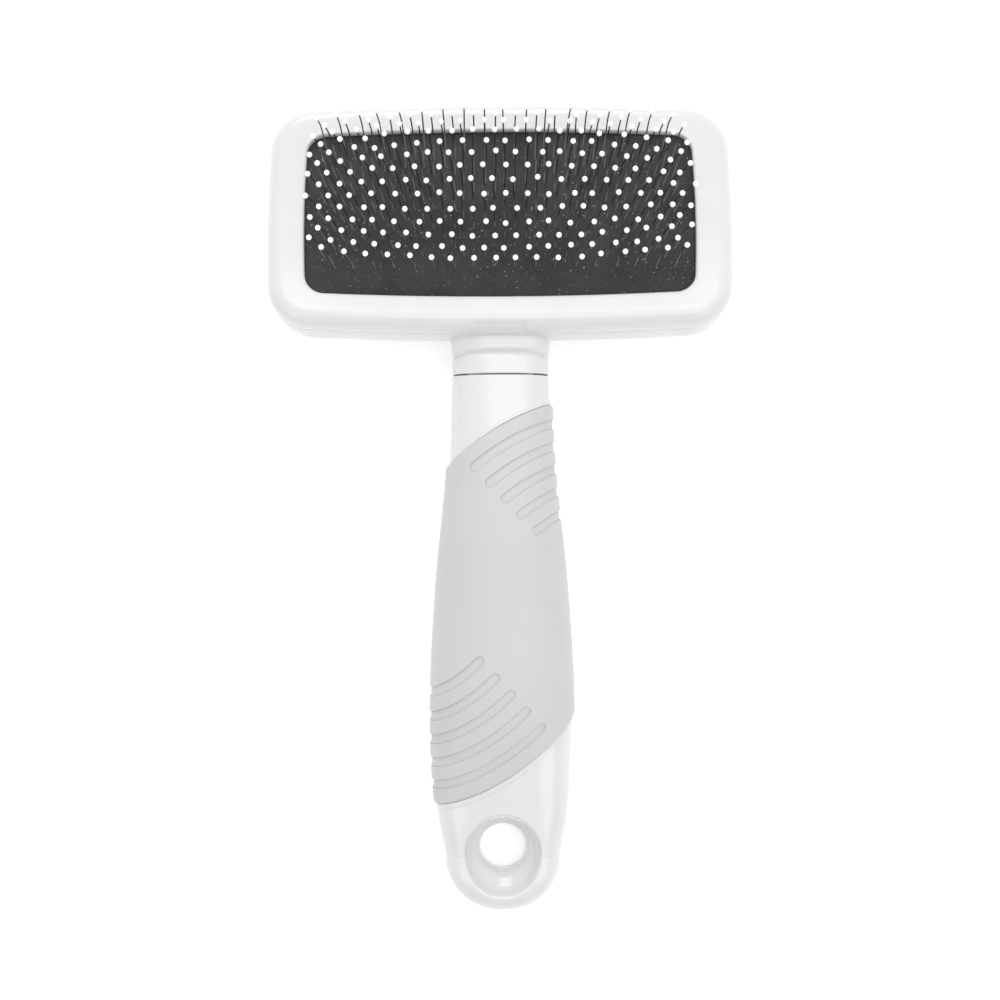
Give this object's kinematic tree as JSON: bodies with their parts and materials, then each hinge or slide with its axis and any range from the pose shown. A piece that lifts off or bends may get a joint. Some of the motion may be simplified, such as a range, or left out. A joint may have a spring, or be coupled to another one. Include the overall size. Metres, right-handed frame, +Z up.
{
  "type": "slicker brush",
  "caption": "Pet grooming slicker brush: cushioned head of fine bent wire pins with ball tips in a snapped-on frame, on a straight handle with a grooved soft grip and a hang hole.",
  "frame": {"origin": "centre of the brush's outline, on the surface that it lies on", "axes": "+X across the head, +Y from the tail to the head, +Z up, the side of the pins"},
  "size_m": [0.114, 0.2004, 0.0365],
  "materials": {
    "white_plastic": "gloss",
    "carrier_plastic": "matte",
    "foam": "matte",
    "pad_cloth": "matte",
    "wire": "satin",
    "ball_tip": "gloss",
    "soft_grip": "satin"
  },
  "bodies": {
    "brush": {"head_shell": "white_plastic", "front_frame": "white_plastic", "backing_plate": "carrier_plastic", "pad_foam": "foam", "handle_core": "white_plastic", "grip_sleeve": "soft_grip"},
    "pin_bed": {"pin_pad": "pad_cloth", "pin_row_01": "wire", "pin_row_02": "wire", "pin_row_03": "wire", "pin_row_04": "wire", "pin_row_05": "wire", "pin_row_06": "wire", "pin_row_07": "wire", "pin_row_08": "wire", "pin_row_09": "wire", "pin_row_10": "wire", "pin_row_11": "wire", "pin_row_12": "wire", "pin_row_13": "wire", "pin_row_14": "wire", "tips_row_01": "ball_tip", "tips_row_02": "ball_tip", "tips_row_03": "ball_tip", "tips_row_04": "ball_tip", "tips_row_05": "ball_tip", "tips_row_06": "ball_tip", "tips_row_07": "ball_tip", "tips_row_08": "ball_tip", "tips_row_09": "ball_tip", "tips_row_10": "ball_tip", "tips_row_11": "ball_tip", "tips_row_12": "ball_tip", "tips_row_13": "ball_tip", "tips_row_14": "ball_tip"}
  },
  "joints": [
    {"name": "cushion_press", "type": "slide", "parent": "brush", "child": "pin_bed", "axis": [0, -0.1564, -0.9877], "range_m": [0, 0.0015], "stiffness_N_per_m": 6000, "deforming": ["pad_foam"]}
  ]
}
